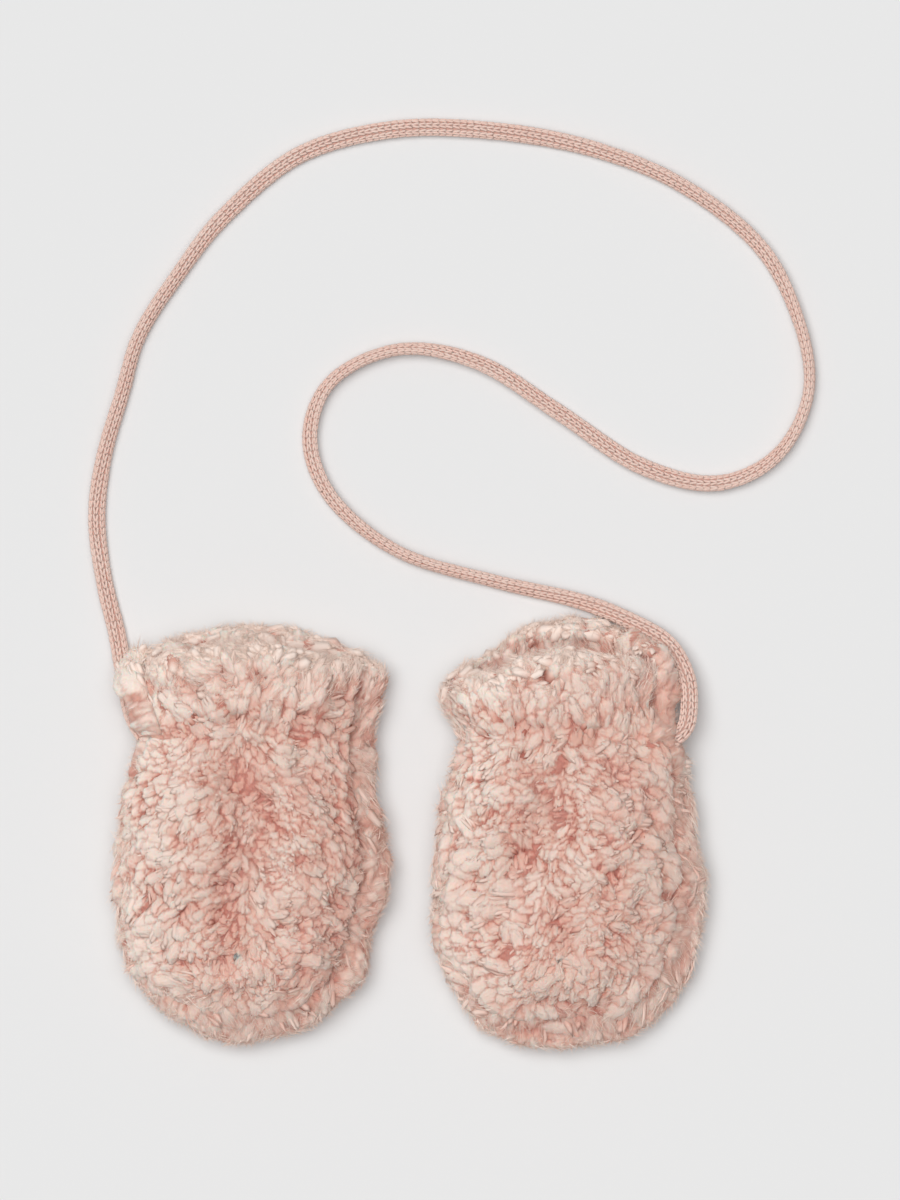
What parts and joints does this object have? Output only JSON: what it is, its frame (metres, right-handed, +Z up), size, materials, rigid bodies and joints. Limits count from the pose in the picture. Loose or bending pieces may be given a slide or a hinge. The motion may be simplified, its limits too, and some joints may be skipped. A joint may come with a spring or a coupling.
{
  "type": "pair of baby mittens on a cord",
  "caption": "Pair of thumbless pile-fleece baby mittens with gathered wrists and ruffled cuffs, joined by a knitted cord and laid flat.",
  "frame": {"origin": "on the surface that the pair lies on, under the middle of the box round both mittens, without the cord", "axes": "+X from the left mitten to the right one, +Y from the fingertips to the mouths, +Z up from the surface"},
  "size_m": [0.219, 0.2797, 0.0287],
  "materials": {
    "pile_fleece": "pale pink sherpa pile fleece, matt with a soft sheen",
    "elastic": "woven elastic tape, matt",
    "knitted_cord": "knitted tubular cord, matt"
  },
  "bodies": {
    "root": {"left_upper_panel": "pile_fleece", "left_under_panel": "pile_fleece", "left_wrist_elastic": "elastic", "right_upper_panel": "pile_fleece", "right_under_panel": "pile_fleece", "right_wrist_elastic": "elastic", "neck_cord": "knitted_cord"}
  },
  "joints": []
}
